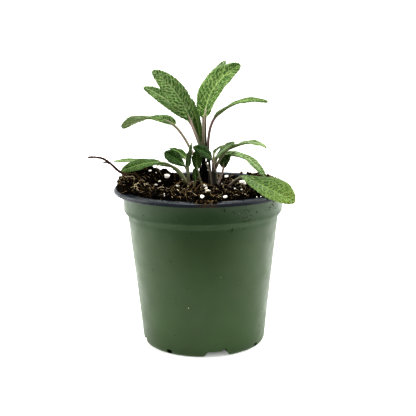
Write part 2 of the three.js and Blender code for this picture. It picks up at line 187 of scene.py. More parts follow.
def bumped(height, distance):
    """The normal of a bump that is that high in millimetres."""
    bump = add_node(height, "ShaderNodeBump", Height=height, Distance=distance * MM)
    return bump.outputs["Normal"]


def pick(*pieces):
    """Selects some pieces alone, with the first of them as the active one, or nothing."""
    bpy.ops.object.select_all(action="DESELECT")
    for piece in pieces:
        piece.select_set(True)
    if pieces:
        bpy.context.view_layer.objects.active = pieces[0]


def made(name, operator, **settings):
    """The piece that an operator adds, selected alone and named."""
    pick()
    operator(**settings)
    bpy.context.object.name = name
    return bpy.context.object


def aimed_light(name, place, width, power):
    """A square softbox that faces the middle of the plant."""
    light = made(name, bpy.ops.object.light_add, type="AREA", location=Vector(place) * MM)
    light.data.shape = "SQUARE"
    light.data.size = width * MM
    light.data.energy = power
    look = Vector(PLANT_MIDDLE) - Vector(place)
    light.rotation_euler = look.to_track_quat("-Z", "Y").to_euler()


floor = made("studio_floor", bpy.ops.mesh.primitive_plane_add, size=FLOOR_WIDTH * MM,
             location=(0, (FLOOR_FRONT + FLOOR_WIDTH / 2) * MM, 0))
bpy.ops.object.transform_apply(location=True)
paper, paper_shader = new_finish("white_paper", PAPER, 0.9, Emission_Color=WHITE)
# The paper glows less near the pot's axis: a painted shadow under the pot.
set_node(paper_shader, Normal=bumped(grain(paper, 4), 0.02), Emission_Strength=mapped(
    distance_from(paper, (0, 0, 0)), *(reach * MM for reach in PAINTED_SHADOW_REACH), 0, PAPER_GLOW))
floor.data.materials.append(paper)
for name, softbox in SOFTBOXES.items():
    aimed_light(name, *softbox)

air = bpy.data.worlds.new("studio_air")
air.use_nodes = True
bpy.context.scene.world = air
lit_air = air.node_tree.nodes["Background"]
air_side = add_node(air, "ShaderNodeTexCoord").outputs["Generated"]
air_depth = add_node(air, "ShaderNodeSeparateXYZ", Vector=air_side).outputs["Y"]
air_shade = mapped(air_depth, *(AIR_LIGHT[end] for end in ("from", "to", "front", "back")))
air_shade.node.interpolation_type = "SMOOTHSTEP"
set_node(lit_air, Color=WHITE, Strength=air_shade)
shown_air = add_node(air, "ShaderNodeBackground", Color=WHITE, Strength=AIR_SHOWN)
seen = add_node(air, "ShaderNodeLightPath").outputs["Is Camera Ray"]
which_air = add_node(air, "ShaderNodeMixShader", Fac=seen)
give(which_air.inputs[1], lit_air.outputs["Background"])
give(which_air.inputs[2], shown_air.outputs["Background"])
set_node(air.node_tree.nodes["World Output"], Surface=which_air.outputs["Shader"])
bpy.context.scene.view_settings.view_transform = "Standard"
bpy.context.scene.view_settings.look = "High Contrast"


# Pot: a 4.5-inch nursery pot of polypropylene sheet, green outside and black inside, formed in
# one piece with a stacking shoulder, a turned-out lip and raised drain channels under its floor.
POT_HEIGHT = 102
RIM_RADIUS = 57.15
RIM_DEPTH = 2.5
NECK_RADIUS = 51.6
SHOULDER_TOP = (51, 88.2)
SHOULDER_FOOT = (48.3, 83.2)
FOOT_RADIUS = 39.8
FOOT_CORNER = 3.5
WALL = 0.85
LIP_ROUND = 1.55
POT_SIDES = 160
QUARTERS = (0, 90, 180, 270)
CHANNEL_AZIMUTH = 12
CHANNEL_START = 17
CHANNEL_WIDTH = 20
CHANNEL_TOP_WIDTH = 12
CHANNEL_HEIGHT = 3.9
# Each drain hole of a quarter has its azimuth, its width and the heights of its ends.
DRAIN_HOLES = [(19, 3.2, 3.4, 5.4), (56.5, 3.6, 0.8, 3.5)]
DRAIN_DEPTH = 3.4
OUTSIDE, INSIDE = 0, 1
POT_GREEN = (34, 63, 6)
# A darker green for the wall above the shoulder: painted shade under the lip.
POT_SHADED_GREEN = (21, 56, 1)
POT_WORN_GREEN = (32, 57, 6)
POT_BLACK = (26, 33, 40)
LIP_SOIL = (58, 46, 30)
LIP_SMEAR = {"at": (3, -57, 101), "reach": (7.5, 4)}
# Heights in mm over which the painted shade under the lip fades out downwards.
LIP_SHADE_FADE = (88, 72)


def spun(name, outline, sides):
    """A solid turned about the pot's axis from its outline in radius and height."""
    piece = made(name, bpy.ops.mesh.primitive_plane_add, size=MM)
    bpy.ops.object.mode_set(mode="EDIT")
    bpy.ops.mesh.select_all(action="SELECT")
    bpy.ops.mesh.merge(type="CENTER")
    place = Vector((0, 0, 0))
    for i, (radius, height) in enumerate(outline):
        step = Vector((radius, 0, height)) * MM - place
        place += step
        if i == 0:
            bpy.ops.transform.translate(value=step)
        else:
            bpy.ops.mesh.extrude_vertices_move(TRANSFORM_OT_translate={"value": step})
    bpy.ops.mesh.select_all(action="SELECT")
    bpy.ops.mesh.spin(steps=sides, angle=2 * math.pi, center=(0, 0, 0), axis=(0, 0, 1))
    bpy.ops.mesh.select_all(action="SELECT")
    bpy.ops.mesh.remove_doubles(threshold=0.001 * MM)
    bpy.ops.mesh.normals_make_consistent(inside=False)
    bpy.ops.object.mode_set(mode="OBJECT")
    return piece


def arc(middle, radius, start, end, steps):
    """Points of a round stretch of an outline, with its angles from level in degrees."""
    turns = np.radians(np.linspace(start, end, steps + 1))
    return [(middle[0] + radius * math.cos(t), middle[1] + radius * math.sin(t)) for t in turns]


def wall_line(inset):
    """The wall's outline from the floor to the neck, drawn in by an inset."""
    corner = (FOOT_RADIUS - FOOT_CORNER, FOOT_CORNER)
    line = arc(corner, FOOT_CORNER - inset, -90, 0, 6)
    low, high = np.array(SHOULDER_FOOT) - (inset, 0), np.array(SHOULDER_TOP) - (inset, 0)
    for t in np.linspace(0, 1, 9):
        ease = t * t * (3 - 2 * t)
        line.append((low[0] + (high[0] - low[0]) * ease, low[1] + (high[1] - low[1]) * t))
    line.append((NECK_RADIUS - inset, POT_HEIGHT - 1.8))
    return line


def channel_block(azimuth, margin):
    """The form of one drain channel, grown by a margin, with rounded edges."""
    width, top_width = CHANNEL_WIDTH + 2 * margin, CHANNEL_TOP_WIDTH + 2 * margin
    height, start = CHANNEL_HEIGHT + margin + 2, CHANNEL_START - margin
    block = made("channel_block", bpy.ops.mesh.primitive_cube_add, size=1)
    place = places_of(block)
    half = np.where(place[:, 2] > 0, top_width, width)
    middle = Vector((0, -(start + RIM_RADIUS / 2), height / 2 - 2))
    shape_by(block, place * np.column_stack([half, half * 0 + RIM_RADIUS, half * 0 + height])
             + np.array(middle))
    block.data.transform(Matrix.Rotation(math.radians(azimuth), 4, "Z"))
    round_edges(block, 0.7, 3)
    return block


def shape_by(piece, places):
    """Puts a piece's vertices at places in millimetres."""
    piece.data.vertices.foreach_set("co", (np.asarray(places) * MM).ravel())
    piece.data.update()


def places_of(piece):
    """The places of a piece's vertices in metres, a row for each."""
    places = np.zeros(len(piece.data.vertices) * 3)
    piece.data.vertices.foreach_get("co", places)
    return places.reshape(-1, 3)


def apply_modifiers(piece):
    pick(piece)
    for modifier in list(piece.modifiers):
        bpy.ops.object.modifier_apply(modifier=modifier.name)


def round_edges(piece, width, segments):
    bevel = piece.modifiers.new("bevel", "BEVEL")
    bevel.width = width * MM
    bevel.segments = segments
    apply_modifiers(piece)


def cut(piece, cutter):
    """Cuts a form out of a piece, and takes the form away."""
    boolean = piece.modifiers.new("cut", "BOOLEAN")
    boolean.object = cutter
    boolean.solver = "EXACT"
    boolean.material_mode = "TRANSFER"
    apply_modifiers(piece)
    bpy.data.objects.remove(cutter)


def smooth(piece, angle=35):
    pick(piece)
    bpy.ops.object.shade_smooth_by_angle(angle=math.radians(angle))


def all_faces_to(piece, finishes, slot=0):
    """Gives a piece its finishes, and one of them to all of its faces."""
    for finish in finishes:
        piece.data.materials.append(finish)
    piece.data.polygons.foreach_set("material_index", [slot] * len(piece.data.polygons))


def around_pot(turn, reach, height):
    """Places at angles from the front towards +X, as rows."""
    return np.column_stack([reach * np.sin(turn), -reach * np.cos(turn), height])


green, green_shader = new_finish("pot_green", POT_GREEN, 0.4, Specular_IOR_Level=0.48)
green_height = add_node(green, "ShaderNodeSeparateXYZ", Vector=own_place(green)).outputs["Z"]
low_green = graded(grain(green, 28, 2), (0.3, POT_WORN_GREEN), (0.6, POT_GREEN))
# The wall is painted darker green towards the lip: painted shade under the lip.
below_lip_shade = mapped(green_height, *(height * MM for height in LIP_SHADE_FADE))
shoulder_middle = (SHOULDER_TOP[1] + SHOULDER_FOOT[1]) / 2
from_shoulder = reckoned("ABSOLUTE", reckoned("SUBTRACT", green_height, shoulder_middle * MM))
set_node(green_shader,
         Base_Color=mixed(POT_SHADED_GREEN, (below_lip_shade, low_green)),
         Roughness=reckoned("ADD", mapped(from_shoulder, 1 * MM, 5 * MM, 0.15, 0),
                            mapped(grain(green, 9, 4), 0.3, 0.7, 0.34, 0.46)),
         Normal=bumped(grain(green, 1.2, 4), 0.02))
black, black_shader = new_finish("pot_black", POT_BLACK, 0.3, Specular_IOR_Level=0.4)
smeared = reckoned("MULTIPLY", mapped(grain(black, 1.1, 4, 0.7), 0.44, 0.5), mapped(
    distance_from(black, LIP_SMEAR["at"]), *(reach * MM for reach in LIP_SMEAR["reach"])))
set_node(black_shader,
         Base_Color=mixed(POT_BLACK, (smeared, LIP_SOIL)),
         Roughness=mapped(grain(black, 7, 4), 0.35, 0.65, 0.2, 0.5),
         Normal=bumped(grain(black, 0.8, 4), 0.03))

lip_middle = (RIM_RADIUS - LIP_ROUND, POT_HEIGHT - LIP_ROUND)
pot = spun("nursery_pot", [
    (0, 0),
    *wall_line(0),
    (NECK_RADIUS + 0.5, POT_HEIGHT - 1.1),
    (RIM_RADIUS - 1.6, POT_HEIGHT - 1.2),
    (RIM_RADIUS - 1, POT_HEIGHT - 1.8),
    (RIM_RADIUS - 0.9, POT_HEIGHT - RIM_DEPTH),
    (RIM_RADIUS - 0.1, POT_HEIGHT - RIM_DEPTH),
    *arc(lip_middle, LIP_ROUND, 0, 90, 7),
    (0, POT_HEIGHT),
], POT_SIDES)
all_faces_to(pot, [green, black], OUTSIDE)
for face in pot.data.polygons:
    reach, height = math.hypot(face.center.x, face.center.y) / MM, face.center.z / MM
    on_lip = height > POT_HEIGHT - RIM_DEPTH - 0.1 and reach > NECK_RADIUS + 0.2
    if height > POT_HEIGHT - 0.5 or on_lip:
        face.material_index = INSIDE
hollow = spun("pot_hollow", [
    (0, WALL),
    *wall_line(WALL),
    *arc((NECK_RADIUS + 1.6, POT_HEIGHT - 1.8), 2.4, 180, 130, 4)[1:],
    (NECK_RADIUS - WALL + 0.9, POT_HEIGHT + 0.1),
    (0, POT_HEIGHT + 0.1),
], POT_SIDES)
all_faces_to(hollow, [green, black], INSIDE)
for quarter in QUARTERS:
    block = channel_block(CHANNEL_AZIMUTH + quarter, 0)
    grown_block = channel_block(CHANNEL_AZIMUTH + quarter, WALL)
    all_faces_to(block, [green, black], OUTSIDE)
    all_faces_to(grown_block, [green, black], INSIDE)
    cut(pot, block)
    cut(hollow, grown_block)
cut(pot, hollow)
for quarter in QUARTERS:
    for azimuth, width, low, high in DRAIN_HOLES:
        turn = math.radians(azimuth + quarter)
        drain_hole = made(
            "drain_hole", bpy.ops.mesh.primitive_cube_add, size=1, rotation=(0, 0, turn),
            scale=Vector((width, DRAIN_DEPTH, high - low)) * MM,
            location=around_pot(turn, FOOT_RADIUS - 1, (high + low) / 2)[0] * MM)
        bpy.ops.object.transform_apply(location=True, rotation=True, scale=True)
        round_edges(drain_hole, 0.6, 3)
        cut(pot, drain_hole)
smooth(pot)
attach(pot, "root")
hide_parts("pot")


# Potting mix: peat and composted bark, heaped higher at the back left and low at the back right.
# The body fills the pot to its floor, and its broken top is one dense sheet that spills over the
# lip on the left.
MIX_LEVEL = 101.2
LIP_TOP = 102
MIX_REACH = 49.6
SPILL_REACH = 55.6
# Each heap or hollow has its middle, its spread each way and its height.
HEAPS = [
    (-42, 12, 15, 24, 11.4), (-23, 14, 12, 13, 4.8), (-47, -14, 9, 13, 4.5),
    (-12, 2, 8, 10, 2.2), (-18, -30, 16, 12, 2), (22, -26, 18, 12, 1.6),
    (34, 26, 17, 16, -4), (4, 40, 22, 9, -3.5), (4, -53, 7, 6, 3.6),
]
MIX_GAP = 0.3
MIX_HEM = ((MIX_REACH - 0.3, 99), (46, 84), (44, 80))
MIX_CORE_TOP = [(45.2, 79), (0, 81)]
TOP_CELLS = 200
PEAT_DARK = (4, 3, 2)
PEAT_BROWN = (15, 11, 7)
PEAT_TAN = (66, 51, 32)


def heap_level(x, y):
    """The mix's level with its heaps and hollows, before its roughness."""
    level = np.full(np.shape(x), float(MIX_LEVEL))
    for at_x, at_y, wide, deep, height in HEAPS:
        level += height * np.exp(-((x - at_x) / wide) ** 2 - ((y - at_y) / deep) ** 2)
    return level


def cell_borders(x, y, seed):
    """How far each place is from the border between two of many jittered cells, in cells."""
    column, row = np.floor(x), np.floor(y)
    nearest = np.full(x.shape, 9.0)
    second = np.full(x.shape, 9.0)
    for side in (-1, 0, 1):
        for forward in (-1, 0, 1):
            cell_x, cell_y = column + side, row + forward
            draw = np.abs(np.sin(cell_x * 127.1 + cell_y * 311.7 + seed) * 43758.5453)
            other = np.abs(np.sin(cell_x * 269.5 + cell_y * 183.3 + seed) * 24634.6345)
            away = np.hypot(cell_x + draw % 1 - x, cell_y + other % 1 - y)
            second = np.minimum(second, np.maximum(nearest, away))
            nearest = np.minimum(nearest, away)
    return second - nearest


def mix_surface(x, y):
    """The top of the mix, broken into clods and crumbs."""
    rough = np.sin(x * 0.83 + 1.3) * np.sin(y * 0.71 + 0.4)
    rough += 0.8 * np.sin(x * 0.37 - y * 0.52 + 2) + 0.7 * np.sin(x * 1.31 + y * 1.17)
    clods = 0.0
    for size, height in ((6.5, 4.0), (3.1, 2.2), (1.4, 1.0)):
        border = cell_borders(x / size + 0.13 * np.sin(y / size), y / size, size)
        clods = clods + height * (np.minimum(border, 0.6) - 0.35)
    return heap_level(x, y) + 0.75 * rough + clods


def spill_reach(turn):
    """How far out the mix lies at an angle: to the wall, or over the lip where it is heaped."""
    x, y = 53 * np.cos(turn), 53 * np.sin(turn)
    heaped = np.clip((heap_level(x, y) - LIP_TOP - 0.6) / 1.8, 0, 1)
    return MIX_REACH + (SPILL_REACH - MIX_REACH) * heaped * heaped * (3 - 2 * heaped)


def ground(x, y):
    """The level that lies bare at a place: the mix, or the lip where it has spilled over that."""
    over_lip = np.clip((np.hypot(x, y) - MIX_REACH) / 1.5, 0, 1)
    return np.maximum(mix_surface(x, y), LIP_TOP * over_lip + 0.4)


def grid_piece(name, across, along):
    """A flat grid of cells as a new piece, with its places from -1 to 1."""
    piece = made(name, bpy.ops.mesh.primitive_grid_add, x_subdivisions=across,
                 y_subdivisions=along, size=2)
    return piece, places_of(piece)


def join_pieces(name, pieces):
    """Several pieces joined in one."""
    pick(*pieces)
    bpy.ops.object.join()
    pieces[0].name = name
    return pieces[0]


peat, peat_shader = new_finish("peat", PEAT_BROWN, 1, Specular_IOR_Level=0.05)
set_node(peat_shader, Normal=bumped(grain(peat, 0.5, 4, 0.7), 0.3), Base_Color=graded(
    grain(peat, 1.6, 5, 0.7), (0.34, PEAT_DARK), (0.54, PEAT_BROWN), (0.72, PEAT_TAN)))

mix_top, square = grid_piece("potting_mix_top", TOP_CELLS, TOP_CELLS)
disc_x = square[:, 0] * np.sqrt(1 - square[:, 1] ** 2 / 2)
disc_y = square[:, 1] * np.sqrt(1 - square[:, 0] ** 2 / 2)
turn = np.arctan2(disc_y, disc_x)
reach = np.hypot(disc_x, disc_y) * spill_reach(turn)
top_x, top_y = reach * np.cos(turn), reach * np.sin(turn)
top_z = ground(top_x, top_y)
over_lip = np.clip((reach - MIX_REACH) / 1.5, 0, 1)
near_edge = np.clip((np.hypot(disc_x, disc_y) - 0.97) / 0.03, 0, 1)
top_z -= near_edge * over_lip * (top_z - LIP_TOP - 0.3)
shape_by(mix_top, np.column_stack([top_x, top_y, top_z]))
bpy.ops.object.mode_set(mode="EDIT")
bpy.ops.mesh.select_all(action="DESELECT")
bpy.ops.mesh.select_mode(type="VERT")
bpy.ops.mesh.select_non_manifold()
for hem_radius, hem_height in MIX_HEM:
    bpy.ops.mesh.extrude_region_move()
    bpy.ops.object.mode_set(mode="OBJECT")
    for vertex in mix_top.data.vertices:
        if vertex.select:
            angle = math.atan2(vertex.co.y, vertex.co.x)
            vertex.co = Vector((math.cos(angle) * hem_radius, math.sin(angle) * hem_radius,
                                hem_height)) * MM
    bpy.ops.object.mode_set(mode="EDIT")
bpy.ops.mesh.edge_face_add()
bpy.ops.mesh.select_all(action="SELECT")
bpy.ops.mesh.normals_make_consistent(inside=False)
bpy.ops.object.mode_set(mode="OBJECT")
mix_body = spun("potting_mix_body", [
    (0, WALL + MIX_GAP), *wall_line(WALL + MIX_GAP)[:7], *MIX_CORE_TOP], 64)
for quarter in QUARTERS:
    cut(mix_body, channel_block(CHANNEL_AZIMUTH + quarter, WALL + MIX_GAP))
potting_mix = join_pieces("peat_mix", [mix_top, mix_body])
all_faces_to(potting_mix, [peat])
smooth(potting_mix, 50)
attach(potting_mix, "root")
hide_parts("potting_mix")


# Crumbs and fibres: what lies loose on the mix, from dust to clumps 4 mm across and root threads
# 22 mm long. Each kind is modelled a few times, and copied at sizes and turns of its own.
CLUMPS = {"count": 200, "sizes": (1.8, 4.2), "seed": 4}
CRUMBS = {"count": 3000, "sizes": (0.5, 2.8), "seed": 5}
CHIPS = {"count": 520, "sizes": (1, 2.6), "power": 1.5, "margin": 1.5, "lift": 0.15, "slope": 40,
         "shape": (1, 0.45, 0.22), "tone": (0.7, 1.3), "darker": 0.45, "seed": 6}
FIBRES = {"count": 2600, "sizes": (3, 11), "power": 2.5, "margin": 2.5, "lift": 0.04, "slope": 30,
          "tone": (1.2, 1.4), "seed": 7}
STRAWS = {"count": 740, "sizes": (2, 8), "power": 2, "margin": 3, "lift": 0.12, "slope": 35,
          "tone": (3, 0.8), "seed": 8}
ROOTS = {"count": 150, "lengths": (9, 22), "seed": 9}
STRAYS = {"count": 34, "azimuths": (-116, -60), "reach": (50, 54.5), "slopes": (-14, 34),
          "lengths": (3, 8.5), "seed": 10}
# Where crumbs lie on the lip, and dust on the wall: azimuth, spread, heights and count.
SPILLS = [(3, 3.2, 340), (132, 8, 120), (57, 6, 70)]
SPILL_SIZES = (0.5, 2.4)
DUST = [(29, 7, (88, 96), 46), (54, 6, (92, 99), 34), (23, 3, (82, 85), 14), (0, 60, (5, 98), 60)]
DUST_SIZES = (0.2, 0.7)
BOX_MARGIN = 0.1
GRAIN_ROOM = 2.2
# Each perlite grain has its middle, its length and width, and the azimuth that it lies at.
GRAINS = np.array([
    (-23.1, 4.2, 4.4, 3.9, -40), (-27.7, -1.9, 2, 1.6, 0), (-29.3, -9.8, 2.8, 1.8, 30),
    (-16.1, -7.5, 4, 1.7, -35), (-12.9, 4.9, 2.4, 2, 0), (-6.5, 7.6, 3.4, 2.1, -50),
    (-2.2, 8.7, 3, 2, -60), (1.2, -1.2, 3.1, 2.7, 30), (2, -23.1, 2.8, 2, 40),
    (3.6, -23.3, 4.4, 1.7, 8), (-0.1, -52.4, 3.1, 2.7, 30), (15.9, 46.5, 3.2, 2.6, 0),
    (13.5, -40, 2.8, 2.5, 0), (25.4, 4.8, 4, 3.3, -30), (27.4, 7.8, 2.2, 2.4, 20),
    (23.9, -20.9, 1.9, 1.5, 20), (32.8, -0.8, 2, 1.1, 0), (32.6, -41.8, 1, 0.9, 0),
    (35.1, -40.4, 1, 0.9, 0), (-34.1, 5.5, 2.2, 1.8, 0), (19.9, -21.3, 2.2, 1.2, 0),
    (-9.1, -5.5, 1.5, 1.2, 0),
])
LUMP_KINDS = 6
FIBRE_KINDS = 8
CRUMB_DARK = (9, 6, 4)
CRUMB_BROWN = (44, 35, 22)
CRUMB_TAN = (150, 126, 88)
STRAW = (246, 232, 198)


def heading(pitch, azimuth):
    """Unit directions for slopes above level and azimuths from +X towards +Y, in degrees."""
    slope, turn = np.radians(pitch), np.radians(azimuth)
    return np.column_stack([np.cos(slope) * np.cos(turn), np.cos(slope) * np.sin(turn),
                            np.sin(slope)])


def path_frames(path):
    """The two sides of a path that face across it, at each of its points."""
    along = np.gradient(path, axis=0)
    along /= np.linalg.norm(along, axis=1)[:, None]
    left = np.cross((0, 1, 0), along)
    left /= np.linalg.norm(left, axis=1)[:, None]
    return left, np.cross(along, left)


def edit_whole(operator, **settings):
    """Runs an edit-mode operator on the whole of the piece that is active."""
    bpy.ops.object.mode_set(mode="EDIT")
    bpy.ops.mesh.select_all(action="SELECT")
    operator(**settings)
    bpy.ops.object.mode_set(mode="OBJECT")


def rod_along(name, path, left, up, radius, sides, ridges=0.0):
    """A closed round rod along a path, made by wrapping a grid round it. Ridges square it."""
    path, left, up = (np.vstack([side[:1], side, side[-1:]]) for side in (path, left, up))
    radius = np.concatenate([[0], radius, [0]])
    last = len(path) - 1
    rod, square = grid_piece(name, sides, last)
    row = np.rint((square[:, 1] + 1) / 2 * last).astype(int)
    turn = np.pi * (1 + square[:, 0])
    reach = (radius[row] * (1 + ridges * np.cos(4 * turn)))[:, None]
    shape_by(rod, path[row] + reach * (
        np.cos(turn)[:, None] * left[row] + np.sin(turn)[:, None] * up[row]))
    edit_whole(bpy.ops.mesh.remove_doubles, threshold=0.001 * MM)
    return rod


def model_of(piece):
    """The vertices and triangles of a piece, which is then taken away."""
    edit_whole(bpy.ops.mesh.quads_convert_to_tris)
    vertices = places_of(piece) / MM
    faces = np.array([list(face.vertices) for face in piece.data.polygons])
    bpy.data.objects.remove(piece)
    return vertices, faces


def lump_model(draw, subdivisions=1, broken=0.3, flats=0):
    """A broken lump that reaches about 1 each way from its middle, with some flat faces."""
    lump = made("lump", bpy.ops.mesh.primitive_ico_sphere_add, subdivisions=subdivisions, radius=MM)
    for vertex in lump.data.vertices:
        vertex.co *= 1 + broken * (draw.random() - 0.5) * 2
    for _ in range(flats):
        facing = Vector(draw.normal(0, 1, 3)).normalized()
        limit = draw.uniform(0.5, 0.8) * MM
        for vertex in lump.data.vertices:
            vertex.co -= facing * max(0, vertex.co.dot(facing) - limit)
    return model_of(lump)


def thread_model(draw, steps=6, thickness=0.02):
    """A bent thread of unit length along X, tapering to both ends."""
    run = np.linspace(0, 1, steps + 1)
    side, lift = draw.uniform(-0.22, 0.22, 2), draw.uniform(-0.12, 0.12, 2)
    once, twice = np.sin(np.pi * run), np.sin(2 * np.pi * run)
    path = np.column_stack([run - 0.5, side[0] * once + side[1] * twice,
                            lift[0] * once + lift[1] * twice])
    left, up = np.tile((0, 1, 0), (len(run), 1)), np.tile((0, 0, 1), (len(run), 1))
    radius = thickness * (0.35 + 0.65 * once ** 0.5)
    return model_of(rod_along("thread", path, left, up, radius, 3))


def set_numbers(piece, **numbers):
    """Numbers for a piece's vertices, one for each or one for all, by name, for its finish."""
    for name, values in numbers.items():
        attribute = piece.data.attributes.new(name, "FLOAT", "POINT")
        values = np.broadcast_to(values, len(piece.data.vertices)).astype(np.float32)
        attribute.data.foreach_set("value", values)


def scattered(name, models, draw, spots, frames, tones, size=1.0, lift=0.0):
    """Copies of a few models in one piece, each at its spot, in its own frame and at its size, and
    raised by a share of that."""
    which = draw.integers(0, len(models), len(spots))
    places, frames = spots + np.outer(size, (0, 0, lift)), frames * np.reshape(size, (-1, 1, 1))
    vertices, faces, tone, count = [], [], [], 0
    for kind, (model, model_faces) in enumerate(models):
        mine = np.flatnonzero(which == kind)
        spread = np.einsum("nij,kj->nki", frames[mine], model) + places[mine][:, None]
        first = count + np.arange(len(mine)) * len(model)
        faces.append((model_faces[None] + first[:, None, None]).reshape(-1, 3))
        vertices.append(spread.reshape(-1, 3))
        tone.append(np.repeat(tones[mine], len(model)))
        count += len(mine) * len(model)
    mesh = bpy.data.meshes.new(name)
    mesh.from_pydata((np.vstack(vertices) * MM).tolist(), [], np.vstack(faces).tolist())
    piece = bpy.data.objects.new(name, mesh)
    bpy.context.collection.objects.link(piece)
    set_numbers(piece, tone=np.concatenate(tone))
    return piece


def random_turns(draw, count):
    """Turning matrices that face every way alike."""
    fours = draw.normal(0, 1, (count, 4))
    return np.array([Quaternion(four).normalized().to_matrix() for four in fours])


def draw_of(kind):
    """The random draw of a kind of loose thing, and how many there are of it."""
    return np.random.default_rng(kind["seed"]), kind["count"]


def strewn_spots(draw, count, margin):
    """Places strewn over the top of the mix, that far in from its edge and clear of the grains."""
    turn = draw.uniform(-np.pi, np.pi, 2 * count)
    reach = (spill_reach(turn) - margin) * np.sqrt(draw.random(2 * count))
    x, y = reach * np.cos(turn), reach * np.sin(turn)
    away = np.hypot(x[:, None] - GRAINS[:, 0], y[:, None] - GRAINS[:, 1]).min(1)
    free = np.flatnonzero(away > GRAIN_ROOM)[:count]
    return np.column_stack([x, y, ground(x, y)])[free]


def laid_frames(draw, spots, lift):
    """Frames of unit size for long things laid on the mix's slope, and raised by up to a lift."""
    turn = draw.uniform(-np.pi, np.pi, len(spots))
    step = 1.5 * np.column_stack([np.cos(turn), np.sin(turn)])
    ahead, behind = spots[:, :2] + step, spots[:, :2] - step
    rise = heap_level(ahead[:, 0], ahead[:, 1]) - heap_level(behind[:, 0], behind[:, 1])
    slope = np.degrees(np.arctan2(rise, 3)) + draw.uniform(-6, lift, len(spots))
    along = heading(slope, np.degrees(turn))
    level = heading(slope * 0, np.degrees(turn) + 90)
    over = np.cross(along, level)
    roll = draw.uniform(0, 2 * np.pi, len(spots))[:, None]
    left = level * np.cos(roll) + over * np.sin(roll)
    return np.stack([along, left, np.cross(along, left)], 2)


def small_rather(draw, sizes, count, power=2.5):
    """Sizes in a range, with many more small ones than large ones."""
    return sizes[0] + (sizes[1] - sizes[0]) * draw.random(count) ** power


def strewn_along(name, models, draw, kind):
    """Long things of one kind, strewn over the mix and laid along it. Large chips are darker."""
    count = kind["count"]
    spots = strewn_spots(draw, count, kind["margin"])
    size = small_rather(draw, kind["sizes"], count, kind["power"])
    frames = laid_frames(draw, spots, kind["slope"]) * kind.get("shape", (1, 1, 1))
    tones = draw.beta(*kind["tone"], count) * np.clip(1.2 - kind.get("darker", 0) * size, 0.3, 1)
    return scattered(name, models, draw, spots, frames, tones, size, kind["lift"])


def number_of(finish, name):
    """A vertex number of the piece, by name, as a factor in its finish."""
    return add_node(finish, "ShaderNodeAttribute", attribute_name=name).outputs["Fac"]


def loose_finish(name, least, *shares):
    """A finish for loose things by their tone, with dark patches that keep a least share of it."""
    finish, shader = new_finish(name, CRUMB_BROWN, 1, Specular_IOR_Level=0.1)
    patch = mapped(grain(finish, 0.4, 4, 0.7), 0.36, 0.56, least, 1)
    toned = graded(number_of(finish, "tone"), *zip(shares, (
        CRUMB_DARK, CRUMB_BROWN, CRUMB_TAN, STRAW)))
    set_node(shader, Base_Color=mixed(CRUMB_DARK, (patch, toned)),
             Normal=bumped(grain(finish, 0.25, 3), 0.15))
    return finish


crumb = loose_finish("crumbs", 0, 0, 0.45, 0.85, 1)
fibre = loose_finish("fibres", 0.3, 0, 0.42, 0.72, 0.95)

draw, count = draw_of(CLUMPS)
clods = [lump_model(draw, 2, 0.22) for _ in range(LUMP_KINDS)]
spots = strewn_spots(draw, count, 3)
size = small_rather(draw, CLUMPS["sizes"], count, 1.5) / 2
clumps = scattered("clumps", clods, draw, spots,
                   random_turns(draw, count) * draw.uniform(0.6, 1.1, (count, 1, 3)),
                   draw.beta(1.1, 5, count), size, 0.1)

draw, count = draw_of(CRUMBS)
lumps = [lump_model(draw) for _ in range(LUMP_KINDS)]
spots = strewn_spots(draw, count, 0.6)
size = small_rather(draw, CRUMBS["sizes"], count) / 2
shape = draw.uniform(0.55, 1.2, (count, 1, 3))
crumbs = scattered("crumbs", lumps, draw, spots, random_turns(draw, count) * shape,
                   draw.beta(0.45, 1.5, count) * np.clip(1.2 - 0.7 * size, 0.2, 1), size, 0.5)

draw, _ = draw_of(CHIPS)
chips = strewn_along("bark_chips", lumps, draw, CHIPS)

draw, _ = draw_of(FIBRES)
threads = [thread_model(draw) for _ in range(FIBRE_KINDS)]
fibres = strewn_along("fibres", threads, draw, FIBRES)

draw, _ = draw_of(STRAWS)
thick_threads = [thread_model(draw, 5, 0.034) for _ in range(FIBRE_KINDS)]
straws = strewn_along("straws", thick_threads, draw, STRAWS)

draw, count = draw_of(ROOTS)
long_threads = [thread_model(draw, 12, 0.017) for _ in range(FIBRE_KINDS)]
spots = strewn_spots(draw, count, 5)
spots = spots[np.argsort(spots[:, 0] + 14 * draw.random(count))][:count // 2]
length = draw.uniform(*ROOTS["lengths"], len(spots))
roots = scattered("roots", long_threads, draw, spots, laid_frames(draw, spots, 25),
                  draw.uniform(0.3, 0.7, len(spots)), length, 0.06)

draw, count = draw_of(STRAYS)
turn = draw.uniform(*STRAYS["azimuths"], count) - 90
spots = heading(turn * 0, turn) * draw.uniform(*STRAYS["reach"], (count, 1))
spots[:, 2] = ground(spots[:, 0], spots[:, 1]) + 0.3
length = draw.uniform(*STRAYS["lengths"], count)
turn += draw.normal(0, 35, count)
along, level = heading(draw.uniform(*STRAYS["slopes"], count), turn), heading(turn * 0, turn + 90)
strays = scattered("strays", threads, draw, spots,
                   np.stack([along, level, np.cross(along, level)], 2),
                   draw.beta(1.4, 1.6, count), length)

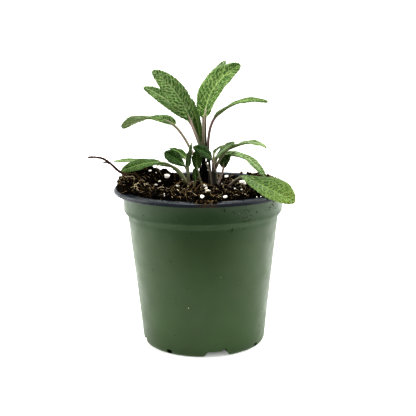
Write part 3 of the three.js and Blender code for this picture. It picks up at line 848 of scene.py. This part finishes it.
wall = np.array(wall_line(0))
spots, sizes = [], []
for azimuth, spread, count in SPILLS:
    turn = np.radians(draw.normal(azimuth, spread, count))
    reach = draw.uniform(NECK_RADIUS + 0.3, RIM_RADIUS - 0.9, count)
    round_off = np.clip(reach - RIM_RADIUS + LIP_ROUND, 0, 1.5)
    level = LIP_TOP - LIP_ROUND + np.sqrt(LIP_ROUND ** 2 - round_off ** 2)
    size = small_rather(draw, SPILL_SIZES, count, 1.6)
    size = np.minimum(size, 1.9 * (RIM_RADIUS - BOX_MARGIN - reach))
    spots.append(around_pot(turn, reach, level + 0.3 * size))
    sizes.append(size)
for azimuth, spread, heights, count in DUST:
    turn = np.radians(draw.normal(azimuth, spread, count))
    height = draw.uniform(*heights, count)
    spots.append(around_pot(turn, np.interp(height, wall[:, 1], wall[:, 0]), height))
    sizes.append(draw.uniform(*DUST_SIZES, count))
spots, size = np.vstack(spots), np.concatenate(sizes) / 2
spilled = scattered("spilled_crumbs", lumps, draw, spots, random_turns(draw, len(spots)),
                    draw.beta(0.8, 1.2, len(spots)), size)

crumbs = join_pieces("crumbs", [clumps, crumbs, chips, spilled])
fibres = join_pieces("fibres", [fibres, straws, roots, strays])
for loose, finish in ((crumbs, crumb), (fibres, fibre)):
    places = places_of(loose) / MM
    places[:, 1] = places[:, 1].clip(BOX_MARGIN - RIM_RADIUS, RIM_RADIUS - BOX_MARGIN)
    shape_by(loose, places)
    all_faces_to(loose, [finish])
    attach(loose, "root")
    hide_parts("potting_mix")


# Perlite: grains of expanded volcanic glass, white, light and pitted, that were stirred into the
# mix. Their finish glows a little: painted light that keeps them white where they lie in shade.
# The larger ones are broken by a rule of their own and half sunk where they lie.
SMALL_GRAINS = {"count": 46, "sizes": (0.5, 1.4), "seed": 11}
PERLITE = (252, 249, 240)
PERLITE_STAIN = (226, 214, 184)

# The emission is painted light: a glow that keeps the grains bright white.
perlite, perlite_shader = new_finish("perlite", PERLITE, 0.85, Specular_IOR_Level=0.3,
                                      Emission_Strength=0.28, Emission_Color=PERLITE)
set_node(perlite_shader, Normal=bumped(grain(perlite, 0.35, 3), 0.12),
         Base_Color=graded(grain(perlite, 1.4, 4), (0.38, PERLITE_STAIN), (0.5, PERLITE)))

draw, count = draw_of(SMALL_GRAINS)
big_lumps = [lump_model(draw, 2, 0.16, 7) for _ in range(LUMP_KINDS)]
spots = np.column_stack([GRAINS[:, :2], ground(GRAINS[:, 0], GRAINS[:, 1])])
half_length, half_width, facing = GRAINS[:, 2] / 2, GRAINS[:, 3] / 2, GRAINS[:, 4]
along, across = heading(facing * 0, facing), heading(facing * 0, facing + 90)
frames = np.stack([along * (half_length / half_width)[:, None], across,
                   np.cross(along, across) * 0.9], 2)
grains = scattered("perlite_grains", big_lumps, draw, spots, frames, facing * 0, half_width, 0.9)
spots = strewn_spots(draw, count, 3)
size = small_rather(draw, SMALL_GRAINS["sizes"], count, 1.5) / 2
small_grains = scattered("small_grains", lumps, draw, spots, random_turns(draw, count), size * 0,
                         size, 0.6)
perlite_grains = join_pieces("perlite", [grains, small_grains])
all_faces_to(perlite_grains, [perlite])
smooth(perlite_grains, 30)
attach(perlite_grains, "root")
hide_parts("potting_mix")


# Main shoot: a soft young stem in the middle of the pot with eight sage leaves on long stalks.
# Stem, stalks, blades and the stubs of old stalks are one growth. Most stubs, and the feet of the
# stalks, are near-black: painted shade among the stems. A blade is thin, has round teeth, and is
# pebbled between its veins, which lie sunk on its upper side and stand out below.
BLADE_THICKNESS = 0.5
BLADE_CELL = 0.34
STALK_RADIUS = 0.9
MIDRIB_TIP_RADIUS = 0.18
SMALL_LEAF = 20
FOOT_SINK = 2
TOOTH_PITCH = 2
TOOTH_HEIGHT = 0.5
PEBBLE_SIZE = 1.5
PEBBLE_HEIGHT = 0.34
STEM_SIDES = 16
STALK_SIDES = 12
HAIR_RADIUS = 0.03
HAIR_LENGTHS = (0.25, 0.6)
# A stem is its points, its radius at both ends and its blush. A leaf's stalk has its length,
# azimuth and rise, and its blade has its length, width and fold. Where two numbers are given, they
# are for the blade's base and tip, or, of the blush, for the stalk's two ends. The blush takes a
# stalk from green through pink and olive to purple, and above 0.85 to near-black: painted shade.
# A leaf's tone is partly its own colour and partly painted shade and light: leaves that stand in
# shade get low tones, lit ones high tones.
LEAF_FIELDS = ("root", "stalk", "blade", "pitch", "swing", "roll", "tone", "age", "blush",
               "blunt", "lobe")
MAIN_STEM = ([(1.5, 1, 88), (1.2, 1, 100), (0.8, 1, 113), (0.3, 1.3, 127)], (1.9, 1.1), 1)
MAIN_LEAVES = [
    ((-0.5, 1, 125), (22, 156, 67), (41, 14, 20), (69, 24), -11, (-56, -76), 0.55, 0, (1, 0.45)),
    ((0, 2, 125), (23, 147, 65), (38.5, 9.5, 12), (42, 17), 5, (-42, -70), 0.6, 0, (1, 0.5)),
    ((2, 0.5, 125), (25, 74, 96), (40.8, 19, 16), (61, 29), -75, (-22, 56), 0.4, 0, (1, 0.6), 0.2),
    ((0.5, 2, 126), (22, 87, 85), (42, 13, 12), (51, 53), -67, (-18, 28), 1, 0, (0.9, 0.5)),
    ((-2.4, 1.5, 115), (36.5, 147, 59), (35.5, 17.5, 10), (18, -36), 24, (-18, 38), 0.28, 0,
     (0.6, 0.3), 0.15, 0.3),
    ((3.2, 0, 118), (30, 322, 88), (38, 8.5, 10), (46, -12), 33, (-4, 32), 0.32, 0.05, (0.8, 0.5)),
    ((0.5, 2, 124), (4, 121, 73), (32, 7, 18), (70, 58), -3, (-70, -50), 0.35, 0, (0.9, 0.4)),
    ((0.3, -1, 101), (15, 222, 65), (11.5, 7, 20), (85, 76), 63, (240, 175), 0.3, 0, (0.4, 0.15)),
]
# Stubs of old stalks about the stem, most of them near-black: painted shade between the stems.
SHADE_STUBS = [
    ([(-2.6, 1.2, 97), (-2.1, 1, 107), (-1.3, 1.1, 115.5)], (1.3, 0.4), 1.1),
    ([(-0.8, -0.3, 97), (-0.5, -0.1, 108), (0.3, 0.4, 119.5)], (1.3, 0.6), 1.05),
    ([(1.5, -0.9, 97), (1.6, -0.7, 105), (2, -0.7, 112.5)], (1.2, 0.4), 1.1),
    ([(3.4, 0.6, 97), (3, 0.6, 107), (2, 0.8, 117.5)], (1.4, 0.5), 1),
    ([(5, -0.5, 97), (4.6, -0.3, 108), (4.2, 0, 119.5)], (1.3, 0.7), 0.8),
    ([(7, 0.5, 97), (6.5, 0.6, 107), (6.7, 1, 117)], (1.3, 0.7), 0.7),
    ([(6, -2, 97), (5.2, -1.9, 109), (2.4, -1.5, 117)], (0.7, 0.5), 0.35),
]
LEAF_DEEP = (29, 58, 6)
LEAF_GREEN = (66, 102, 32)
LEAF_LIGHT = (106, 126, 82)
LEAF_AGED = (150, 164, 72)
VEIN_DARK = (84, 118, 56)
VEIN_GREEN = (178, 202, 126)
VEIN_LIGHT = (196, 212, 172)
UNDER_DEEP = (74, 98, 50)
UNDER_GREEN = (146, 170, 110)
UNDER_LIGHT = (166, 186, 132)
UNDER_VEIN = (186, 202, 154)
STALK_GREEN = (140, 152, 108)
STALK_PINK = (140, 116, 112)
STALK_OLIVE = (62, 60, 40)
# The stalks' darkest purple, near-black: partly their own colour and partly painted shade among the
# stems.
STALK_SHADED_PURPLE = (18, 12, 12)
# Pale colour laid along the upper side of stalks and stems: a painted highlight.
STALK_HIGHLIGHT = (214, 206, 176)
# Blush over which stalks turn near-black and lose sheen and gloss: painted shade.
STALK_SHADE_BLUSH = (0.85, 1)
HAIR_WHITE = (226, 232, 214)


def midline(leaf, run):
    """Points on a leaf's midline, the way it grows there, its own left and its upper side. The
    run is -1 at the stalk's foot, 0 at the blade's base and 1 at the tip."""
    (stalk_length, azimuth, rise), (base, tip) = leaf["stalk"], leaf["pitch"]

    def lean(place):
        on_blade, on_stalk = np.maximum(place, 0), 1 + np.minimum(place, 0)
        slope = rise + (base - rise) * on_stalk ** 3 + (tip - base) * on_blade
        return slope, azimuth + leaf["swing"] * on_blade

    fine = np.linspace(-1, 1, 401)
    between = (fine[1:] + fine[:-1]) / 2
    length = np.where(between > 0, leaf["blade"][0], stalk_length) / 200
    steps = heading(*lean(between)) * length[:, None]
    path = np.vstack([leaf["root"], leaf["root"] + np.cumsum(steps, axis=0)])
    point = np.column_stack([np.interp(run, fine, path[:, axis]) for axis in range(3)])
    slope, turn = lean(run)
    along, level = heading(slope, turn), heading(turn * 0, turn + 90)
    over = np.cross(along, level)
    roll = leaf["roll"][0] + (leaf["roll"][1] - leaf["roll"][0]) * np.maximum(run, 0)
    roll = np.radians(roll)[:, None]
    left = level * np.cos(roll) + over * np.sin(roll)
    return point, along, left, over * np.cos(roll) - level * np.sin(roll)


def blade_of(leaf, seed):
    """A leaf's blade: a sheet of cells, pebbled between its veins, given its thickness."""
    length, width, fold = leaf["blade"]
    blade, square = grid_piece("blade", 2 * math.ceil(width / BLADE_CELL / 2),
                               math.ceil(length / BLADE_CELL))
    share, across = (square[:, 1] + 1) / 2, -square[:, 0]
    run = (share + 0.5 - 0.5 * np.cos(np.pi * share)) / 2
    point, along, left, up = midline(leaf, run)
    blunt = 0.1 * run ** 2 + leaf.get("blunt", 0) * (1 - run) ** 3
    full = np.sin(np.pi * run ** 0.8).clip(0, 1) ** (0.62 - blunt)
    half = np.maximum(width / 2 * full, 0.35)
    edge = np.abs(across) ** 6
    ahead = run * length
    tooth = np.abs(np.sin(np.pi * ahead / TOOTH_PITCH + 1.3 * np.sin(run * 23 + seed)))
    fold = math.radians(fold)
    reach = across * math.cos(fold) * (half + edge * TOOTH_HEIGHT * (tooth - 0.6))
    out = np.abs(across * half)

    young = min(1, width / 12) ** 1.5
    spacing = 0.8 + 0.14 * width
    phase = ahead - 0.75 * out - 0.28 * out * out / half
    phase += 0.14 * spacing * np.sin(ahead * 0.6 + across * 3 + seed)
    beat = (phase / spacing + 0.5 * (across > 0)) % 1 - 0.5
    side_vein = np.exp(-(beat * spacing / 0.3) ** 2) * (1 - 0.4 * across ** 2)
    midrib = np.exp(-(reach / (0.3 + 0.4 * (1 - run))) ** 2)
    border = cell_borders(phase / PEBBLE_SIZE, across * half / PEBBLE_SIZE / 1.4, seed)
    net = 1 - np.clip(border / 0.3, 0, 1)
    pebble = np.clip(border / 0.5, 0, 1) * (1 - edge)
    relief = young * (PEBBLE_HEIGHT * pebble - 0.3 * side_vein) - 0.05 * midrib - 0.2 * edge

    lobe = leaf.get("lobe", 0.2) * width * across ** 2 * np.exp(-9 * run)
    lift = half * math.sin(fold) * (1.5 * np.abs(across) - 0.5 * across ** 2)
    ripple = 0.25 * np.sin(run * 19 + across) * across ** 2
    shape_by(blade, point + left * reach[:, None] + up * (lift + ripple + relief)[:, None]
             - along * lobe[:, None])
    veins = young * np.maximum(side_vein, 0.68 * net)
    set_numbers(blade, vein=np.maximum(min(1, 0.25 + young) * midrib, veins),
                tone=leaf["tone"], age=leaf["age"] * run ** 2, blush=0)

    thick = blade.vertex_groups.new(name="thick")
    level = np.rint(4 * (1 - edge)).astype(int)
    for step in range(1, 5):
        thick.add(np.flatnonzero(level == step).tolist(), step / 4, "REPLACE")
    all_faces_to(blade, [leaf_upper, leaf_under])
    sheet = blade.modifiers.new("thickness", "SOLIDIFY")
    sheet.thickness = BLADE_THICKNESS * MM
    sheet.offset = 0
    sheet.vertex_group = "thick"
    sheet.thickness_vertex_group = 0.4
    sheet.material_offset = 1
    sheet.material_offset_rim = 1
    apply_modifiers(blade)
    return blade


def finish_rod(rod, path, up, blush, tone):
    """Gives a rod its stalk finish, with a painted highlight: a pale stripe along its upper side.
    """
    places = places_of(rod) / MM
    near = np.argmin(((places[:, None] - path[None]) ** 2).sum(2), axis=1)
    away = places - path[near]
    height = (away * up[near]).sum(1) / np.maximum(np.linalg.norm(away, axis=1), 1e-6)
    # How far each point faces up sets a painted highlight along the rod's upper side.
    set_numbers(rod, vein=np.clip(height, 0, 1) ** 2, tone=tone, age=0, blush=blush[near])
    all_faces_to(rod, [leaf_stalk])
    return rod


def stalk_of(stem, leaf):
    """A leaf's stalk and the midrib that runs on under its blade, as one tapering rod."""
    slender = 0.8 if leaf["blade"][0] < SMALL_LEAF else 1
    run = np.concatenate([np.linspace(-1, 0, 15)[:-1], np.linspace(0, 0.95, 30)])
    point, _, left, up = midline(leaf, run)
    share = np.maximum(run, 0)
    radius = slender * (STALK_RADIUS + (MIDRIB_TIP_RADIUS - STALK_RADIUS) * share ** 0.6)
    point = point + up * ((-0.05 - radius) * np.minimum(1, share * 6))[:, None]
    points = np.array(stem[0], float)
    low = leaf["root"][2] - FOOT_SINK
    foot = [np.interp(low, points[:, 2], points[:, axis]) for axis in range(3)]
    path = np.vstack([foot, point])
    left, up = np.vstack([left[:1], left]), np.vstack([up[:1], up])
    radius = np.concatenate([radius[:1], radius])
    foot_blush, top_blush = leaf["blush"]
    blush = np.interp(run, (-1, -0.6, 0, 0.12), (
        foot_blush, (foot_blush + 2 * top_blush) / 3, top_blush, 0))
    blush = np.concatenate([blush[:1], blush])
    rod = rod_along("stalk", path, left, up, radius, STALK_SIDES)
    return finish_rod(rod, path, up, blush, leaf["tone"])


def smooth_path(points, steps):
    """Points that follow each other evenly on a smooth curve through a few given ones."""
    points = np.array(points, float)
    padded = np.vstack([2 * points[0] - points[1], points, 2 * points[-1] - points[-2]])
    place = np.linspace(0, len(points) - 1, steps + 1)
    span = np.minimum(place.astype(int), len(points) - 2)
    t = (place - span)[:, None]
    before, start, end, after = (padded[span + i] for i in range(4))
    return 0.5 * (2 * start + (end - before) * t
                  + (2 * before - 5 * start + 4 * end - after) * t ** 2
                  + (3 * start - before - 3 * end + after) * t ** 3)


def stem_of(points, ends, blush):
    """A square-edged young stem that swells a little where its leaves leave it."""
    path = smooth_path(points, 40)
    left, up = path_frames(path)
    share = np.linspace(0, 1, len(path))
    radius = ends[0] + (ends[1] - ends[0]) * share
    radius *= 1 + 0.06 * np.sin(share * 21) ** 2
    radius[-1] *= 0.6
    rod = rod_along("stem", path, left, up, radius, STEM_SIDES, 0.07)
    return finish_rod(rod, path, up, blush + 0 * share, 0.2)


def hair_coat(shoot, count, seed):
    """Short white hairs that stand on a shoot's skin, each a slender cone."""
    draw = np.random.default_rng(seed)
    hair = made("hair", bpy.ops.mesh.primitive_cone_add, vertices=3, radius1=MM, depth=MM,
                location=(0, 0, MM / 2))
    bpy.ops.object.transform_apply(location=True)
    hair = model_of(hair)
    places = places_of(shoot) / MM
    normals = np.zeros(places.size)
    shoot.data.vertex_normals.foreach_get("vector", normals)
    mine = draw.choice(len(places), count, replace=False)
    places = places[mine]
    lean = normals.reshape(-1, 3)[mine] + draw.normal(0, 0.3, (count, 3))
    lean /= np.linalg.norm(lean, axis=1)[:, None]
    side = np.cross(lean, (0.31, 0.52, 0.79))
    side /= np.linalg.norm(side, axis=1)[:, None]
    length = draw.uniform(*HAIR_LENGTHS, count)[:, None]
    frames = np.stack([side * HAIR_RADIUS, np.cross(lean, side) * HAIR_RADIUS, lean * length], 2)
    tip = places + lean * length
    low, high = np.array(cad_box) / MM
    inside = ((tip > low + BOX_MARGIN) & (tip < high - BOX_MARGIN)).all(1)
    coat = scattered("hairs", [hair], draw, places[inside], frames[inside], np.ones(inside.sum()))
    all_faces_to(coat, [leaf_hair])
    return coat


def grown(name, stems, leaves, hairs, seed):
    """A shoot with its stems, its leaves, on the first of them, and its coat of hairs, in one."""
    parts = [stem_of(*stem) for stem in stems]
    for i, row in enumerate(leaves):
        leaf = dict(zip(LEAF_FIELDS, row))
        parts += [stalk_of(stems[0], leaf), blade_of(leaf, seed + i)]
    shoot = join_pieces(name, parts)
    smooth(shoot, 60)
    shoot = join_pieces(name, [shoot, hair_coat(shoot, hairs, seed)])
    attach(shoot, "root")
    return shoot


leaf_upper, upper_shader = new_finish(
    "leaf_upper", LEAF_GREEN, 0.6, Specular_IOR_Level=0.2, Sheen_Weight=0.15,
    Sheen_Roughness=0.4, Subsurface_Weight=0.1, Subsurface_Scale=0.6 * MM)
tone, age, vein = (number_of(leaf_upper, name) for name in ("tone", "age", "vein"))
# The tone, on both sides of a blade, is partly painted shade and light: darker for leaves in shade,
# lighter for lit ones.
upper_green = mixed(
    graded(tone, (0, LEAF_DEEP), (0.5, LEAF_GREEN), (1, LEAF_LIGHT)),
    (mapped(grain(leaf_upper, 5, 3), 0.35, 0.65, 0, 0.45), LEAF_DEEP),
    (age, LEAF_AGED),
    (mapped(vein, 0.1, 1, 0, 0.9),
     graded(tone, (0, VEIN_DARK), (0.35, VEIN_GREEN), (0.8, VEIN_LIGHT))))
set_node(upper_shader, Base_Color=upper_green, Normal=bumped(grain(leaf_upper, 0.3, 3), 0.04))

leaf_under, under_shader = new_finish(
    "leaf_under", UNDER_GREEN, 0.7, Specular_IOR_Level=0.2, Sheen_Weight=0.2,
    Sheen_Roughness=0.5, Subsurface_Weight=0.1, Subsurface_Scale=0.6 * MM)
tone, age, vein = (number_of(leaf_under, name) for name in ("tone", "age", "vein"))
under_green = mixed(
    graded(tone, (0, UNDER_DEEP), (0.5, UNDER_GREEN), (1, UNDER_LIGHT)),
    (age, LEAF_AGED),
    (mapped(grain(leaf_under, 4, 3), 0.35, 0.65, 0, 0.3), LEAF_GREEN),
    (mapped(vein, 0.1, 1, 0, 0.7), UNDER_VEIN))
set_node(under_shader, Base_Color=under_green, Normal=bumped(grain(leaf_under, 0.25, 3), 0.05))

leaf_stalk, stalk_shader = new_finish("leaf_stalk", STALK_GREEN, 0.55)
blush, top_highlight = number_of(leaf_stalk, "blush"), number_of(leaf_stalk, "vein")
stalk_colour = mixed(
    graded(blush, (0, STALK_GREEN), (0.5, STALK_PINK), (0.75, STALK_OLIVE), (1, STALK_SHADED_PURPLE)),
    # The pale stripe along the upper side is a painted highlight.
    (mapped(top_highlight, 0.3, 1, 0, 0.32), STALK_HIGHLIGHT),
    # Near-black where the blush is high: painted shade among the stems.
    (mapped(blush, *STALK_SHADE_BLUSH), STALK_SHADED_PURPLE))
set_node(stalk_shader,
         Base_Color=stalk_colour,
         Sheen_Weight=mapped(blush, *STALK_SHADE_BLUSH, 0.25, 0),
         Specular_IOR_Level=mapped(blush, *STALK_SHADE_BLUSH, 0.35, 0.1),
         Normal=bumped(grain(leaf_stalk, 0.4, 3), 0.05))
leaf_hair, _ = new_finish("leaf_hair", HAIR_WHITE, 0.6)

main_shoot = grown("main_shoot_growth", [MAIN_STEM, *SHADE_STUBS], MAIN_LEAVES, hairs=9000, seed=20)
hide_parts("main_shoot")


# Left shoot: a short young stem with six leaves. Four small ones stand close about it, and two long
# narrow ones on low stalks lie out over the heap.
LEFT_STEM = ([(-8.5, -2, 88), (-8.8, -2, 100), (-9.4, -1.4, 111)], (1.5, 0.8), 0.45)
LEFT_LEAVES = [
    ((-9, -1, 108), (9, 206, 77), (15, 10, 10), (39, 30), -47, (-23, -76), 0, 0, (0.15, 0.05)),
    ((-9, 1, 108), (12.5, 130, 86), (13.5, 6.5, 12), (36, 14), 42, (-30, -10), 0.4, 0, (0.2, 0.1)),
    ((-9.5, -2, 106), (10, 272, 68), (16.5, 5.5, 14), (83, 68), 74, (210, 180), 0.8, 0,
     (0.15, 0.05)),
    ((-9, -3, 103.5), (23.5, 182, 52), (26.5, 9.2, 10), (2, -24), 22, (-10, -62), 0.12, 0.05,
     (0.1, 0)),
    ((-9, 0, 102.5), (17, 159, 57), (40.5, 8, 12), (10, -5), 9, (0, -20), 0.6, 0.05, (0.2, 0.1)),
    ((-7, -4, 100), (8, 300, 48), (9, 5, 12), (85, 59), -75, (210, 250), 0.2, 0, (0.1, 0.05)),
]

left_shoot = grown("left_shoot_growth", [LEFT_STEM], LEFT_LEAVES, hairs=4500, seed=40)
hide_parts("left_shoot")


# Right shoot: a short young stem with six leaves. The longest droops over the low side of the
# mix, and one by the stem stands in its shade; a low tone gives it painted shade.
RIGHT_STEM = ([(7.5, -2, 88), (7.8, -2, 103), (7.6, -1.6, 117)], (1.8, 1), 0.86)
RIGHT_LEAVES = [
    ((7.5, -3, 112), (10, 235, 78), (16.5, 8, 10), (40, 19), -36, (-68, -70), 0, 0, (0.75, 0.3)),
    ((7.5, -2, 115), (7, 328, 83), (15.5, 6.5, 12), (48, 29), 21, (36, 52), 0.9, 0, (0.5, 0.1)),
    ((7, 0, 114), (10, 80, 96), (11, 5, 12), (23, 21), -75, (-45, 5), 0.25, 0, (0.5, 0.1)),
    ((8, -1, 113), (16, -22, 64), (28, 7.5, 10), (35, -33), 64, (-30, 50), 0.8, 0.25, (0.4, 0.1)),
    ((8, 0, 114), (7.5, 47, 86), (43.5, 12, 10), (11, -60), -37, (-14, 62), 0.6, 0, (0.5, 0.1)),
    ((8.8, -2, 102), (15.5, 52, 51), (13, 10.5, 12), (84, -13), -34, (8, -6), 0.12, 0, (0.6, 0.5)),
]

right_shoot = grown("right_shoot_growth", [RIGHT_STEM], RIGHT_LEAVES, hairs=4500, seed=60)
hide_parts("right_shoot")


# Low leaf: one broad leaf from a short stub of its own beside the shoots. Its stalk runs along the
# mix, and the blade rests out over the pot's lip, yellower towards its tip.
LOW_STEM = ([(17, -4, 92), (17, -4, 98), (17.1, -4.1, 103.3)], (1, 0.9), 0.6)
LOW_LEAVES = [
    ((17, -4, 103), (15, 315, 38), (46.5, 21, 18), (-12, -9), -13, (-8, 42), 0.2, 0.35,
     (0.45, 0.25)),
]

low_leaf = grown("low_leaf_growth", [LOW_STEM], LOW_LEAVES, hairs=3000, seed=80)
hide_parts("low_leaf")


# Twig: a dry, thin stick pushed into the heap, with rough bark and the stub of a side twig.
TWIG_POINTS = [(-42, -14, 98), (-44.3, -14, 108.4), (-48.9, -15, 112.5), (-52.6, -16, 115.1),
               (-57, -18, 119.8), (-61.4, -20, 123.3), (-66, -22, 124.6), (-70.1, -24, 124.9)]
STUB_POINTS = [(-57.5, -18.3, 120), (-59.5, -19, 120.9), (-61.5, -19.5, 121)]
TWIG_RADIUS = (0.9, 0.6)
STUB_RADIUS = (0.6, 0.4)
BARK_DARK = (40, 27, 22)
BARK_BROWN = (84, 60, 48)


def stick_of(name, points, radius, steps, seed):
    """A stick whose bark is lumpy, with the knots of old buds."""
    draw = np.random.default_rng(seed)
    path = smooth_path(points, steps)
    left, up = path_frames(path)
    thick = np.linspace(*radius, len(path)) * draw.uniform(0.84, 1.1, len(path))
    thick *= 1 + 0.25 * np.clip(np.sin(np.linspace(0, 13, len(path))), 0.8, 1) - 0.2
    return rod_along(name, path, left, up, thick, 14, 0.05)


bark, bark_shader = new_finish("bark", BARK_BROWN, 0.85, Specular_IOR_Level=0.3)
set_node(bark_shader, Normal=bumped(grain(bark, 0.35, 4), 0.1),
         Base_Color=graded(grain(bark, 0.9, 4), (0.4, BARK_DARK), (0.65, BARK_BROWN)))
twig = join_pieces("dry_twig", [
    stick_of("stick", TWIG_POINTS, TWIG_RADIUS, 90, 3),
    stick_of("stub", STUB_POINTS, STUB_RADIUS, 12, 4)])
all_faces_to(twig, [bark])
smooth(twig, 60)
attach(twig, "root")
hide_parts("twig")
